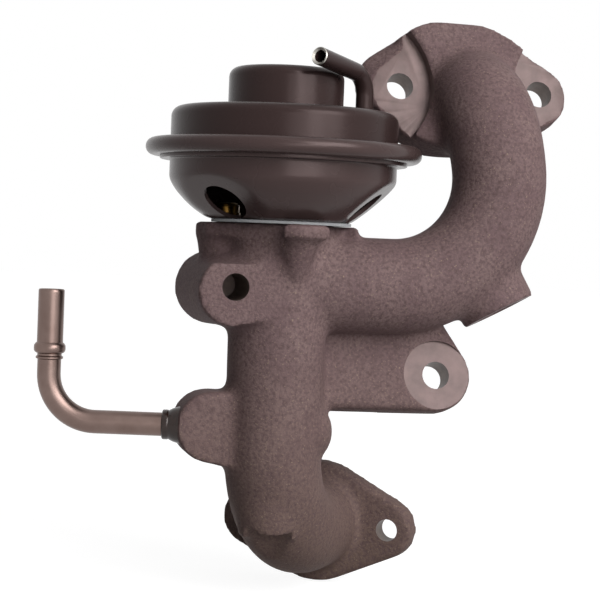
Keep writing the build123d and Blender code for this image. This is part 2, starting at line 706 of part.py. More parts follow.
def pressure_tube():
    """Steel tube from its boss to the hose end, with a rolled bead and a swelled end."""
    top_z = TUBE_TOP_Z - TUBE_Z
    bead_z = TUBE_BEAD_Z - TUBE_Z
    end = (-TUBE_REACH, 0, top_z)
    route = FilletPolyline((TUBE_SOCKET, 0, 0), (-TUBE_REACH, 0, 0), end, radius=TUBE_BEND)
    bead = revolved([
        (0, -TUBE_BEAD / 2),
        (TUBE_R, -TUBE_BEAD / 2),
        (TUBE_BEAD_R, -TUBE_BEAD / 4),
        (TUBE_BEAD_R, TUBE_BEAD / 4),
        (TUBE_R, TUBE_BEAD / 2),
        (0, TUBE_BEAD / 2),
    ])
    solid = tube(route, TUBE_R)
    solid += Pos(-TUBE_REACH, 0, bead_z) * extrude(Circle(TUBE_END_R), top_z - bead_z)
    solid += Pos(-TUBE_REACH, 0, bead_z) * bead
    return TUBE_PLACE * (solid - tube(route, TUBE_BORE_R))


def tube_collar():
    """Brazing ring where the tube enters its boss."""
    collar = extrude(Circle(COLLAR_R), COLLAR_WIDTH)
    collar = chamfer(collar.edges().group_by(Axis.Z)[-1], (COLLAR_R - TUBE_R) / 2)
    collar -= extrude(Circle(TUBE_R), COLLAR_WIDTH)
    return TUBE_PLACE * Pos(COLLAR_SEAT, 0, 0) * Rot(0, -90, 0) * collar


PARTS = (
    body_casting,
    core_plug,
    valve_seat,
    pintle_head,
    pintle_nut,
    valve_stem,
    guide_carrier,
    stem_guide,
    stem_packing,
    packing_retainer,
    soot_deflector,
    housing_gasket,
    lower_housing,
    housing_screws,
    screw_washers,
    diaphragm_plate_lower,
    diaphragm,
    diaphragm_plate_upper,
    stem_washer,
    stem_nut,
    return_spring,
    spring_insulator,
    upper_cover,
    vacuum_nipple,
    pressure_tube,
    tube_collar,
)

if __name__ == "__main__":
    os.makedirs("parts", exist_ok=True)
    to_origin = Pos(*(-OUTLET_PORT))
    for make in PARTS:
        made = make()
        pieces = made if isinstance(made, list) else [made]
        solids = [to_origin * solid for piece in pieces for solid in piece.solids()]
        whole = solids[0] if len(solids) == 1 else Compound(children=solids)
        export_step(whole, f"parts/{make.__name__}.step")
        print(make.__name__, len(solids), [round(solid.volume, 2) for solid in solids])
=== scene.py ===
# %% [markdown]
# # Exhaust gas recirculation valve
# The valve is an iron casting with a bent gas pipe, a black diaphragm actuator on top and a steel
# pressure tube at its side. The CAD model of it is packed as a fixed frame. This lesson gives it
# its looks: a filleted casting skin, pressed and painted sheet metal, bent tubes and the finishes.

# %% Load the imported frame
import json
from math import cos, pi, radians, sin, tan

import bmesh
import bpy
import numpy as np
from mathutils import Matrix, Vector


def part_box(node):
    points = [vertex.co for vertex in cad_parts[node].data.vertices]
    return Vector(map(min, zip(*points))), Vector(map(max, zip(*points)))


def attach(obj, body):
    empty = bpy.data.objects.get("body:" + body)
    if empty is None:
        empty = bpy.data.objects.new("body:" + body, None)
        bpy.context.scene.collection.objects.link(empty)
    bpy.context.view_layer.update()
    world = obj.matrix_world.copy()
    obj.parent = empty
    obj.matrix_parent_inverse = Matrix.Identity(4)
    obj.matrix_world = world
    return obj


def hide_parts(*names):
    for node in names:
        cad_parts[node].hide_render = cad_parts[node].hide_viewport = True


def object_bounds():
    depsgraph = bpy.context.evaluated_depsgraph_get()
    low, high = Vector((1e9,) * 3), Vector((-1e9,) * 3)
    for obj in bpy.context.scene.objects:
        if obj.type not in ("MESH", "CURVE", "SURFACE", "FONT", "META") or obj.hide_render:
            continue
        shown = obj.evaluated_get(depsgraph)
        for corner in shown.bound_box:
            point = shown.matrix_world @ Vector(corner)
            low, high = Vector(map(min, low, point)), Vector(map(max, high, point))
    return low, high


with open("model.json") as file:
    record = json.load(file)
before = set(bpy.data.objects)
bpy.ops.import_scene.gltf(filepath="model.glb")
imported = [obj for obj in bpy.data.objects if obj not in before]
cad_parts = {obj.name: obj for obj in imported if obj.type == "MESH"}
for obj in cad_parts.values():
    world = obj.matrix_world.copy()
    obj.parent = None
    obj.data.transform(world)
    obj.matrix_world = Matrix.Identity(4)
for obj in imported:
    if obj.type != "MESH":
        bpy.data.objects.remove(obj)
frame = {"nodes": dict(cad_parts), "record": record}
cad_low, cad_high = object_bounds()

# %% [markdown]
# ## Places
# Everything on the actuator turns about the valve stem, so it is easiest to draw it in millimetres
# about that axis, with height 0 on the machined seat of the casting. The frame tells where this is:
# the cover is round, so the middle of its box lies on the axis, and the gasket lies on the seat.

# %% The valve axis in the frame
MM = 0.001
cover_low, cover_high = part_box("upper_cover")
seat_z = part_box("housing_gasket")[0].z
VALVE = Vector(((cover_low.x + cover_high.x) / 2, (cover_low.y + cover_high.y) / 2, seat_z))
TO_FRAME = Matrix.Translation(VALVE) @ Matrix.Scale(MM, 4)
MOUNTS = {m["name"]: m for m in frame["record"]["mounts"]}


def at(x, y, z):
    """Point in the frame from millimetres about the valve axis."""
    return TO_FRAME @ Vector((x, y, z))


print("valve axis at", tuple(round(c, 4) for c in VALVE), "mounts", sorted(MOUNTS))

# %% [markdown]
# ## Camera
# The view is from a little to the left of the front, half a metre away, with a long lens so that
# the upright lines stay nearly parallel. Turning a camera in three plain steps, first about its own
# view, then up or down, then round the upright axis, is easier to read than one set of angles.

# %% Camera
CAMERA_AT = at(-103.2, -500.0, -4.7)
CAMERA_TURN = -12.4        # degrees round the upright axis
CAMERA_DOWN = 2.0          # degrees below level
CAMERA_ROLL = 2.3          # degrees about the view itself
SENSOR = 36.0
FRAME_WIDTH = 600          # pixels
FOCAL_PIXELS = 1700

camera_data = bpy.data.cameras.new("camera")
camera_data.sensor_width = SENSOR
camera_data.lens = SENSOR * FOCAL_PIXELS / FRAME_WIDTH
camera = bpy.data.objects.new("camera", camera_data)
bpy.context.scene.collection.objects.link(camera)
camera.matrix_world = (
    Matrix.Translation(CAMERA_AT)
    @ Matrix.Rotation(radians(CAMERA_TURN), 4, "Z")
    @ Matrix.Rotation(radians(90 - CAMERA_DOWN), 4, "X")
    @ Matrix.Rotation(radians(CAMERA_ROLL), 4, "Z")
)
bpy.context.scene.camera = camera
print("lens", round(camera_data.lens, 1), "mm")

# %% [markdown]
# ## Colours and nodes
# Colours are written as the hex codes that a paint program shows and turned to linear light in one
# place. Every node of every material comes from one small function, so that a material reads as a
# list of what it is made of.


# %% Colour and node helpers
def linear(code):
    """Hex sRGB colour as linear red, green, blue and alpha."""
    channels = [int(code[i:i + 2], 16) / 255 for i in (1, 3, 5)]
    return [c / 12.92 if c <= 0.04045 else ((c + 0.055) / 1.055) ** 2.4 for c in channels] + [1]


def node(tree, kind, inputs, **settings):
    """Adds a node. An input is a value, or the output socket of another node."""
    new = tree.nodes.new(kind)
    for name, value in settings.items():
        setattr(new, name, value)
    for name, value in inputs.items():
        if isinstance(value, bpy.types.NodeSocket):
            tree.links.new(value, new.inputs[name])
        else:
            new.inputs[name].default_value = value
    return new


def new_material(name):
    """Empty material: its node tree and the output node."""
    made = bpy.data.materials.new(name)
    made.use_nodes = True
    made.node_tree.nodes.clear()
    return made, made.node_tree


print("mid grey", [round(c, 3) for c in linear("#808080")])

# %% [markdown]
# ## Sand-cast grey iron
# The mould's sand leaves a skin with grains of about half a millimetre, and shot blasting makes the grains
# glint. Damp air browns it unevenly. So the colour is a slow blotch between two warm greys, browner
# towards the foot, darker in the low spots of the grain as painted shade, and with bright specks as
# painted glints; the bump has the size of the grains.

# %% Cast iron skin
BLOTCH = 11 * MM           # size of the uneven browning
SAND = 1.0 * MM            # size of the sand grains, drawn a little coarse so that they show
SPECK = 0.5 * MM           # size of the bright specks of painted glint on the blasted grains
FOOT_Z, HEAD_Z = -110 * MM, -30 * MM   # the foot is browner than the head, about the seat

cast_iron, tree = new_material("grey_iron_sand_cast")
place = node(tree, "ShaderNodeTexCoord", {}).outputs["Object"]
blotch = node(tree, "ShaderNodeTexNoise", {"Vector": place, "Scale": 1 / BLOTCH, "Detail": 3.0})
grain = node(tree, "ShaderNodeTexNoise", {
    "Vector": place,
    "Scale": 1 / SAND,
    "Detail": 3.0,
    "Roughness": 0.6,
})
speck = node(tree, "ShaderNodeTexNoise", {"Vector": place, "Scale": 1 / SPECK, "Detail": 1.0})
patch = node(tree, "ShaderNodeMapRange", {
    "Value": blotch.outputs["Fac"],
    "From Min": 0.35,
    "From Max": 0.65,
})
# Painted glint: bright specks of a lighter colour stand in for highlights on the blasted grains.
glint = node(tree, "ShaderNodeMapRange", {
    "Value": speck.outputs["Fac"],
    "From Min": 0.68,
    "From Max": 0.8,
})
# Painted shade: the colour is darker where the grain bump is low.
painted_pit_shade = node(tree, "ShaderNodeMapRange", {
    "Value": grain.outputs["Fac"],
    "From Min": 0.3,
    "From Max": 0.6,
})
height = node(tree, "ShaderNodeSeparateXYZ", {"Vector": place}).outputs["Z"]
# Browner towards the foot: the colour changes with height.
low = node(tree, "ShaderNodeMapRange", {
    "Value": height,
    "From Min": VALVE.z + HEAD_Z,
    "From Max": VALVE.z + FOOT_Z,
})
skin = node(tree, "ShaderNodeMix", {
    0: patch.outputs[0],
    6: linear("#6e5a5b"),
    7: linear("#7a6665"),
}, data_type="RGBA")
foot = node(tree, "ShaderNodeMix", {
    0: low.outputs[0],
    6: skin.outputs[2],
    7: linear("#6c5a52"),
}, data_type="RGBA")
with_painted_pit_shade = node(tree, "ShaderNodeMix", {
    0: painted_pit_shade.outputs[0],
    6: linear("#5c4b4b"),
    7: foot.outputs[2],
}, data_type="RGBA")
# Mixes the painted glint colour into the skin.
bright = node(tree, "ShaderNodeMix", {
    0: glint.outputs[0],
    6: with_painted_pit_shade.outputs[2],
    7: linear("#93806f"),
}, data_type="RGBA")
relief = node(tree, "ShaderNodeBump", {
    "Height": grain.outputs["Fac"],
    "Strength": 0.8,
    "Distance": 0.3 * MM,
})
iron = node(tree, "ShaderNodeBsdfPrincipled", {
    "Base Color": bright.outputs[2],
    "Metallic": 0.0,
    "Roughness": 0.68,
    "Specular IOR Level": 0.08,
    "Normal": relief.outputs[0],
})
node(tree, "ShaderNodeOutputMaterial", {"Surface": iron.outputs[0]})
print(cast_iron.name, len(tree.nodes), "nodes")

# %% [markdown]
# ## Milled grey iron
# Where the flanges and bosses are faced, the cutter takes the skin off and leaves lighter metal
# with fine marks. The marks are stretched noise, which needs no direction of its own on so small
# a face, and the metal is smoother and more metallic than the skin.

# %% Milled iron
MARK = 0.7 * MM            # distance between cutter marks
STAIN = 4 * MM             # size of the handling stains

milled_iron, tree = new_material("grey_iron_milled")
place = node(tree, "ShaderNodeTexCoord", {}).outputs["Object"]
along = node(tree, "ShaderNodeMapping", {
    "Vector": place,
    "Scale": (1.0, 0.25, 0.25),
    "Rotation": (0, radians(35), 0),
})
marks = node(tree, "ShaderNodeTexNoise", {"Vector": along.outputs[0], "Scale": 1 / MARK, "Detail": 2.0})
stain = node(tree, "ShaderNodeTexNoise", {"Vector": place, "Scale": 1 / STAIN, "Detail": 3.0})
shade = node(tree, "ShaderNodeMapRange", {
    "Value": stain.outputs["Fac"],
    "From Min": 0.35,
    "From Max": 0.7,
})
face = node(tree, "ShaderNodeMix", {
    0: shade.outputs[0],
    6: linear("#665755"),
    7: linear("#746260"),
}, data_type="RGBA")
relief = node(tree, "ShaderNodeBump", {
    "Height": marks.outputs["Fac"],
    "Strength": 0.25,
    "Distance": 0.1 * MM,
})
iron = node(tree, "ShaderNodeBsdfPrincipled", {
    "Base Color": face.outputs[2],
    "Metallic": 0.25,
    "Roughness": 0.5,
    "Specular IOR Level": 0.25,
    "Normal": relief.outputs[0],
})
node(tree, "ShaderNodeOutputMaterial", {"Surface": iron.outputs[0]})
print(milled_iron.name, len(tree.nodes), "nodes")

# %% [markdown]
# ## Drilled holes
# A drilled hole is bare iron too, but darker, because its wall has gone rusty brown and little
# light comes in.

# %% Drilled iron
RUST = 2 * MM              # size of the rust patches

drilled_iron, tree = new_material("grey_iron_drilled")
place = node(tree, "ShaderNodeTexCoord", {}).outputs["Object"]
rust = node(tree, "ShaderNodeTexNoise", {"Vector": place, "Scale": 1 / RUST, "Detail": 3.0})
wall = node(tree, "ShaderNodeMix", {
    0: rust.outputs["Fac"],
    6: linear("#4a3f3b"),
    7: linear("#7d6c64"),
}, data_type="RGBA")
iron = node(tree, "ShaderNodeBsdfPrincipled", {
    "Base Color": wall.outputs[2],
    "Metallic": 0.4,
    "Roughness": 0.5,
})
node(tree, "ShaderNodeOutputMaterial", {"Surface": iron.outputs[0]})
print(drilled_iron.name, len(tree.nodes), "nodes")

# %% [markdown]
# ## Black paint on pressed steel
# The actuator is dip painted. The paint is satin: it shows wide soft highlights, with a slight orange peel
# of about two millimetres. The bowl gets a lighter copy of the same recipe with a little more shine:
# painted light for what its downward faces catch from the white floor.

# %% Black paint
PEEL = 2.2 * MM            # size of the orange peel
CLOUD = 14 * MM            # size of the duller patches


def dip_paint(name, colour, shine):
    """Satin dip paint of a colour; shine is the strength of its mirror layer."""
    made, tree = new_material(name)
    place = node(tree, "ShaderNodeTexCoord", {}).outputs["Object"]
    peel = node(tree, "ShaderNodeTexNoise", {"Vector": place, "Scale": 1 / PEEL, "Detail": 2.0})
    cloud = node(tree, "ShaderNodeTexNoise", {"Vector": place, "Scale": 1 / CLOUD, "Detail": 3.0})
    dull = node(tree, "ShaderNodeMapRange", {
        "Value": cloud.outputs["Fac"],
        "To Min": 0.22,
        "To Max": 0.32,
    })
    relief = node(tree, "ShaderNodeBump", {
        "Height": peel.outputs["Fac"],
        "Strength": 0.08,
        "Distance": 0.1 * MM,
    })
    paint = node(tree, "ShaderNodeBsdfPrincipled", {
        "Base Color": linear(colour),
        "Roughness": dull.outputs[0],
        "Specular IOR Level": shine,
        "Specular Tint": linear("#f4dcda"),
        "Normal": relief.outputs[0],
    })
    node(tree, "ShaderNodeOutputMaterial", {"Surface": paint.outputs[0]})
    return made


black_paint = dip_paint("black_dip_paint_satin", "#302423", 0.2)
# Lighter copy of the paint for the bowl: painted light from below.
bowl_paint_painted_light = dip_paint("black_dip_paint_painted_light_below", "#3e3130", 0.3)
print(black_paint.name, bowl_paint_painted_light.name)

# %% [markdown]
# ## Drawn steel tube
# The tube was drawn through a die, handling scuffed it faintly, and heat gave it a pinkish
# brown tarnish. It is all metal, so the colour is the colour of its reflections.

# %% Tube steel
SMEAR, SCUFF = 5 * MM, 0.9 * MM    # sizes of the tarnish patches and the scuffs

tube_steel, tree = new_material("steel_drawn_tarnished")
place = node(tree, "ShaderNodeTexCoord", {}).outputs["Object"]
smear = node(tree, "ShaderNodeTexNoise", {"Vector": place, "Scale": 1 / SMEAR, "Detail": 4.0})
scuff = node(tree, "ShaderNodeTexNoise", {"Vector": place, "Scale": 1 / SCUFF, "Detail": 2.0})
tint = node(tree, "ShaderNodeMix", {
    0: smear.outputs["Fac"],
    6: linear("#65534d"),
    7: linear("#82706a"),
}, data_type="RGBA")
dull = node(tree, "ShaderNodeMapRange", {"Value": smear.outputs["Fac"], "To Min": 0.28, "To Max": 0.42})
relief = node(tree, "ShaderNodeBump", {
    "Height": scuff.outputs["Fac"],
    "Strength": 0.08,
    "Distance": 0.1 * MM,
})
steel = node(tree, "ShaderNodeBsdfPrincipled", {
    "Base Color": tint.outputs[2],
    "Metallic": 1.0,
    "Roughness": dull.outputs[0],
    "Normal": relief.outputs[0],
})
node(tree, "ShaderNodeOutputMaterial", {"Surface": steel.outputs[0]})
print(tube_steel.name, len(tree.nodes), "nodes")

# %% [markdown]
# ## The small finishes
# The inner pieces and fasteners share one recipe: a colour that varies a little over a few
# millimetres, a typical roughness, and metal or not. Each keeps its own real material's values.


# %% Small finishes
def plain_finish(name, dark, light, metallic, roughness, size):
    """Material whose colour wanders between two tones over the given size in metres."""
    made, tree = new_material(name)
    place = node(tree, "ShaderNodeTexCoord", {}).outputs["Object"]
    cloud = node(tree, "ShaderNodeTexNoise", {"Vector": place, "Scale": 1 / size, "Detail": 3.0})
    tone = node(tree, "ShaderNodeMix", {
        0: cloud.outputs["Fac"],
        6: linear(dark),
        7: linear(light),
    }, data_type="RGBA")
    relief = node(tree, "ShaderNodeBump", {
        "Height": cloud.outputs["Fac"],
        "Strength": 0.1,
        "Distance": 0.1 * MM,
    })
    body = node(tree, "ShaderNodeBsdfPrincipled", {
        "Base Color": tone.outputs[2],
        "Metallic": metallic,
        "Roughness": roughness,
        "Normal": relief.outputs[0],
    })
    node(tree, "ShaderNodeOutputMaterial", {"Surface": body.outputs[0]})
    return made


zinc = plain_finish("steel_zinc_plated", "#8e8b86", "#b5b1aa", 1.0, 0.38, 3 * MM)
yellow_zinc = plain_finish("steel_yellow_passivated", "#5c421b", "#7a5e31", 1.0, 0.3, 2 * MM)
ground_steel = plain_finish("steel_ground", "#9a9896", "#bdbbb8", 1.0, 0.3, 1 * MM)
bronze = plain_finish("bronze_sintered", "#7d5a30", "#9c7440", 1.0, 0.5, 1 * MM)
graphite = plain_finish("graphite_pressed", "#1c1c1d", "#303031", 0.0, 0.7, 1 * MM)
fibre = plain_finish("gasket_fibre_calendered", "#8f9092", "#b2b4b6", 0.0, 0.75, 1 * MM)
rubber = plain_finish("rubber_fabric_backed", "#161616", "#242322", 0.0, 0.65, 1 * MM)
phenolic = plain_finish("phenolic_moulded", "#5b3a22", "#744c2e", 0.0, 0.5, 2 * MM)
braze = plain_finish("braze_collar_oxidised", "#1a1210", "#33221c", 0.3, 0.22, 1 * MM)
print(len(bpy.data.materials), "materials")

# %% [markdown]
# ## Building and placing pieces
# Each new piece starts as a bmesh in millimetres about the valve axis. One function turns the
# finished bmesh into an object in the frame, makes its sharp edges sharp and its other faces smooth,
# hides the CAD node that it stands for, and lets it ride on the right body.

# %% Piece helpers
SHARP = radians(38)        # faces that meet at more than this stay sharp


def mesh_from(bm, name, materials):
    """Mesh with smooth faces and sharp edges from a finished bmesh, which is freed."""
    for face in bm.faces:
        face.smooth = True
    for edge in bm.edges:
        edge.smooth = len(edge.link_faces) == 2 and edge.calc_face_angle(0) < SHARP
    mesh = bpy.data.meshes.new(name)
    bm.to_mesh(mesh)
    bm.free()
    for material in materials:
        mesh.materials.append(material)
    return mesh


def piece(mesh, cad_node, body="base"):
    """Object for a mesh that stands for a CAD node and rides on its body."""
    made = bpy.data.objects.new(mesh.name, mesh)
    bpy.context.scene.collection.objects.link(made)
    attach(made, body)
    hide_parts(cad_node)
    print(made.name, "faces", len(mesh.polygons))
    return made


def applied(mesh, set_up):
    """Mesh after the modifiers that set_up adds to an object that holds it."""
    holder = bpy.data.objects.new("holder", mesh)
    bpy.context.scene.collection.objects.link(holder)
    set_up(holder)
    graph = bpy.context.evaluated_depsgraph_get()
    made = bpy.data.meshes.new_from_object(holder.evaluated_get(graph))
    bpy.data.objects.remove(holder)
    return made


print("sharp above", round(SHARP, 2), "rad")

# %% [markdown]
# ## Casting: a skin with moulder's fillets
# A pattern maker rounds every inner corner of a casting, or the iron would tear there as it cools.
# CAD leaves these corners sharp. A voxel remesh turns the joined shapes into one even skin, and
# later only the hollow places are relaxed, again and again: a point moves when its neighbours stand
# higher than it does. So the inner corners fill up like putty and the outer shapes stay. The holes
# are drilled after casting, so they are plugged first and cut again later with crisp edges.

# %% Round solids
ROUND_SIDES = 96
DEEP = 30 * MM             # long enough to go through any wall


def add_round(bm, centre, axis, radius, start, end):
    """Adds a closed cylinder along an axis, from start to end as distances from the centre."""
    axis = Vector(axis).normalized()
    bmesh.ops.create_cone(
        bm,
        cap_ends=True,
        segments=ROUND_SIDES,
        radius1=radius,
        radius2=radius,
        depth=end - start,
        matrix=Matrix.Translation(Vector(centre) + axis * (start + end) / 2)
        @ axis.to_track_quat("Z", "X").to_matrix().to_4x4(),
    )


def bolt_line(name):
    """Centres of a two-bolt pattern, its axis and the radius of its holes, from the record."""
    mount = MOUNTS[name]
    axis = Vector(mount["axis"])
    side = axis.cross(Vector((0, 0, 1))).normalized()
    reach = mount["dims"]["pcd_mm"] / 2 * MM
    middle = Vector(mount["pos_m"])
    return [middle + side * reach, middle - side * reach], axis, mount["dims"]["hole_r_mm"] * MM


outlet_holes, outlet_axis, outlet_hole_r = bolt_line("outlet_bolts")
inlet_holes, inlet_axis, inlet_hole_r = bolt_line("inlet_bolts")
lug, boss = MOUNTS["lug_hole"], MOUNTS["side_boss_hole"]
lug_middle, boss_middle = Vector(lug["pos_m"]), Vector(boss["pos_m"])
lug_half, boss_half = (m["dims"]["length_mm"] / 2 * MM for m in (lug, boss))
lug_r, boss_r = (m["dims"]["r_mm"] * MM for m in (lug, boss))
print("outlet holes", outlet_holes, "inlet holes", inlet_holes)

# %% CAD casting with its holes plugged
EAR_HEIGHT = 9.4 * MM      # milled ear above the outlet mounting face
INLET_FLANGE = 7.0 * MM
PLUG_OVER = 0.4 * MM       # how much wider than its hole a plug is

bm = bmesh.new()
bm.from_mesh(frame["nodes"]["body_casting"].data)
bmesh.ops.remove_doubles(bm, verts=bm.verts, dist=0.001 * MM)
for hole in outlet_holes:
    add_round(bm, hole, -outlet_axis, outlet_hole_r + PLUG_OVER, 0, EAR_HEIGHT)
for hole in inlet_holes:
    add_round(bm, hole, -inlet_axis, inlet_hole_r + PLUG_OVER, 0, INLET_FLANGE)
add_round(bm, lug_middle, lug["axis"], lug_r + PLUG_OVER, -lug_half, lug_half)
add_round(bm, boss_middle, boss["axis"], boss_r + PLUG_OVER, -boss_half, boss_half)
raw = mesh_from(bm, "casting_raw", [cast_iron])
print("raw casting", len(raw.polygons), "faces")

# %% [markdown]
# ## Casting: cutting tools
# Two kinds of cut come later: hollows that the mould itself leaves, and faces and holes that
# machines make. Both take a closed solid out of the skin, so they share one list of tools. The
# boolean copies a tool's material onto the surface that it leaves, so a milled face needs no
# selecting of faces afterwards.

# %% Cutting tools
cutters = []


def tool(bm, material):
    """Keeps a closed bmesh as a cutting tool; it leaves surfaces of this material."""
    made = bpy.data.objects.new("tool", mesh_from(bm, "tool", [material]))
    bpy.context.scene.collection.objects.link(made)
    made.hide_render = True
    cutters.append(made)


def cutter(centre, axis, radius, start, end, material):
    """Round tool along an axis, from start to end as distances from the centre."""
    bm = bmesh.new()
    add_round(bm, centre, axis, radius, start, end)
    tool(bm, material)


def cut(holder):
    """Puts one boolean cut on the object for each tool."""
    for made in cutters:
        step = holder.modifiers.new("cut", "BOOLEAN")
        step.operation = "DIFFERENCE"
        step.solver = "MANIFOLD"
        step.material_mode = "TRANSFER"
        step.object = made


def drop_cutters():
    """Removes the tools that have done their work."""
    while cutters:
        bpy.data.objects.remove(cutters.pop())


print("tools ready")

# %% [markdown]
# ## Casting: hollows of the mould
# The screw lobe at the front of the seat plate stands out like half a column, because the mould
# leaves a pocket on each side of it to save iron. A smaller hollow lies under the lip where the
# column ends above the elbow, and the left ear slopes off round its milled face. Each is cut out of
# the first skin with a simple solid. A second skin then makes the cut walls as fine as the rest, so
# the fillets that come after run into them too.

# %% Pockets beside the front lobe of the seat plate
POCKET_R = 16.0            # mm from the valve axis to the wall of a pocket
POCKET_DEEP = 20.0
POCKET_TOP = 1.0
POCKETS = (                # direction in degrees, two ends along the wall, lower level
    (230, -30.0, 11.5, -12.0),
    (322, -10.0, 10.0, -5.0),
)

for way, first, last, low in POCKETS:
    bm = bmesh.new()
    size = Matrix.Diagonal((POCKET_DEEP, last - first, POCKET_TOP - low, 1))
    middle = (POCKET_R + POCKET_DEEP / 2, (first + last) / 2, (POCKET_TOP + low) / 2)
    turned_to = Matrix.Rotation(radians(way), 4, "Z") @ Matrix.Translation(middle)
    bmesh.ops.create_cube(bm, size=1, matrix=TO_FRAME @ turned_to @ size)
    tool(bm, cast_iron)
print("pockets", len(cutters))

# %% Hollow under the lip of the column
HOLLOW_TOP = (-2.0, -10.8, -94.0)   # middle of the tool's upper end, in mm
HOLLOW_R = 8.5 * MM
HOLLOW_LEAN = radians(36)  # away from the front, so that the lip overhangs

down_and_back = Vector((0, sin(HOLLOW_LEAN), -cos(HOLLOW_LEAN)))
cutter(at(*HOLLOW_TOP), down_and_back, HOLLOW_R, 0, DEEP, cast_iron)
print("hollow below z", HOLLOW_TOP[2])

# %% Rough slope round the milled face of the left ear
EAR_FACE = ((-22.4, -1.2, 9.4), (-9.0, -1.0, 18.2))   # two circles about the face: x, y, radius
EAR_SLOPES = (131, 155, 180, 205)   # degrees round the face
EAR_SLOPE_R = 11 * MM
RIGHT = Vector((1, 0, 0))

outlet_out = -outlet_axis
outlet_up = outlet_out.cross(RIGHT)
for turn in EAR_SLOPES:
    side = Vector((cos(radians(turn)), sin(radians(turn))))
    reach = max(side.dot(Vector((x, y))) + r for x, y, r in EAR_FACE)
    middle = Vector(EAR_FACE[0][:2])
    edge = (middle + side * (reach - side.dot(middle))) * MM
    spot = RIGHT * edge.x + outlet_up * edge.y + outlet_out * EAR_HEIGHT
    slope = RIGHT * side.x + outlet_up * side.y + outlet_out
    cutter(spot, slope, EAR_SLOPE_R, 0, DEEP, cast_iron)
print("slopes", len(EAR_SLOPES))


# %% Skin with the hollows
VOXEL = 0.95 * MM          # spacing of the skin's points


def add_skin(holder):
    """Turns what the holder has so far into one even skin."""
    step = holder.modifiers.new("skin", "REMESH")
    step.mode = "VOXEL"
    step.voxel_size = VOXEL
    step.use_smooth_shade = True


def rough_skin(holder):
    """Skin, then the rough cuts, then a skin again, so that the cut faces are as fine as the rest."""
    add_skin(holder)
    cut(holder)
    add_skin(holder)


skin_mesh = applied(raw, rough_skin)
drop_cutters()
print("skin", len(skin_mesh.vertices), "points")

# %% Fillets in the hollow places
SMALL_FILLET = 10          # rounds
WIDE_FILLET = 40           # rounds more round the outlet flange
RELAX_STEP = 0.7           # part of the way to the middle of the neighbours
FLANGE_BOX = (at(36, -60, 6), at(110, 60, 90))
LUG_BOX = (at(20, -60, -42), at(66, 0, -26))


def relax(mesh, rounds, hollow_only=True, box=None):
    """Moves points towards the middle of their neighbours: those in a hollow, and in a box."""
    count = len(mesh.vertices)
    points, ends = np.empty(count * 3), np.empty(len(mesh.edges) * 2, int)
    mesh.vertices.foreach_get("co", points)
    mesh.edges.foreach_get("vertices", ends)
    points, ends = points.reshape(-1, 3), ends.reshape(-1, 2)
    links = np.bincount(ends.ravel(), minlength=count)
    chosen = np.ones(count, bool)
    if box:
        chosen = ((points > box[0]) & (points < box[1])).all(1)
    normals = np.empty(count * 3)
    for _ in range(rounds):
        mesh.vertex_normals.foreach_get("vector", normals)
        middle = np.stack([
            np.bincount(ends.ravel(), points[ends[:, ::-1].ravel(), k], count) / links for k in range(3)
        ], 1)
        away = middle - points
        moving = chosen & ((away * normals.reshape(-1, 3)).sum(1) > 0) if hollow_only else chosen
        points[moving] += RELAX_STEP * away[moving]
        mesh.vertices.foreach_set("co", points.ravel())
        mesh.update()


relax(skin_mesh, 1, hollow_only=False)
relax(skin_mesh, SMALL_FILLET)
relax(skin_mesh, WIDE_FILLET, box=FLANGE_BOX)
relax(skin_mesh, WIDE_FILLET, box=LUG_BOX)
print("relaxed", SMALL_FILLET, "rounds, and", WIDE_FILLET, "more at the outlet flange and the lug")

# %% [markdown]
# ## Casting: machining
# On the real part the flange faces, the ears, the lug and the seat are milled after casting, and the
# holes are drilled. The lesson does the same: round cutters take the skin off where the machine
# did, and each cutter brings the material of the surface that it leaves. The mounts in the record
# say where the holes are, so nothing is measured twice.

# %% Cutters
SHAVE = 0.3 * MM           # depth that a milling cutter takes off the skin
EAR_CUTTER_R = 24 * MM
EAR_CUTTER_OUT = 14.3 * MM # cutter centre outside the bolt hole
LUG_SPOT_R = 10.6 * MM
FACE_R = 45 * MM           # large enough to face a whole flange
SEAT_CUTTER_R = 30 * MM
FLANGE_CLEAR, LUG_CLEAR, SEAT_CLEAR = 10 * MM, 8 * MM, 0.6 * MM   # reach of cutters off a face

outlet_middle = (outlet_holes[0] + outlet_holes[1]) / 2
for hole in outlet_holes:
    out = (hole - outlet_middle).normalized()
    cutter(hole + out * EAR_CUTTER_OUT, -outlet_axis, EAR_CUTTER_R, EAR_HEIGHT - SHAVE, DEEP, milled_iron)
    cutter(hole, outlet_axis, outlet_hole_r, -DEEP, DEEP, drilled_iron)
for hole in inlet_holes:
    cutter(hole, inlet_axis, inlet_hole_r, -FLANGE_CLEAR, FLANGE_CLEAR, drilled_iron)
cutter(MOUNTS["outlet_face"]["pos_m"], outlet_axis, FACE_R, -SHAVE, FLANGE_CLEAR, milled_iron)
cutter(MOUNTS["inlet_face"]["pos_m"], inlet_axis, FACE_R, -SHAVE, FLANGE_CLEAR, milled_iron)
cutter(lug_middle, lug["axis"], LUG_SPOT_R, lug_half - SHAVE, lug_half + LUG_CLEAR, milled_iron)
cutter(lug_middle, lug["axis"], lug_r, -DEEP, DEEP, drilled_iron)
cutter(boss_middle, boss["axis"], boss_r, -boss_half, DEEP, drilled_iron)
cutter(VALVE, (0, 0, 1), SEAT_CUTTER_R, -0.5 * SHAVE, SEAT_CLEAR, milled_iron)
print(len(cutters), "cutters")

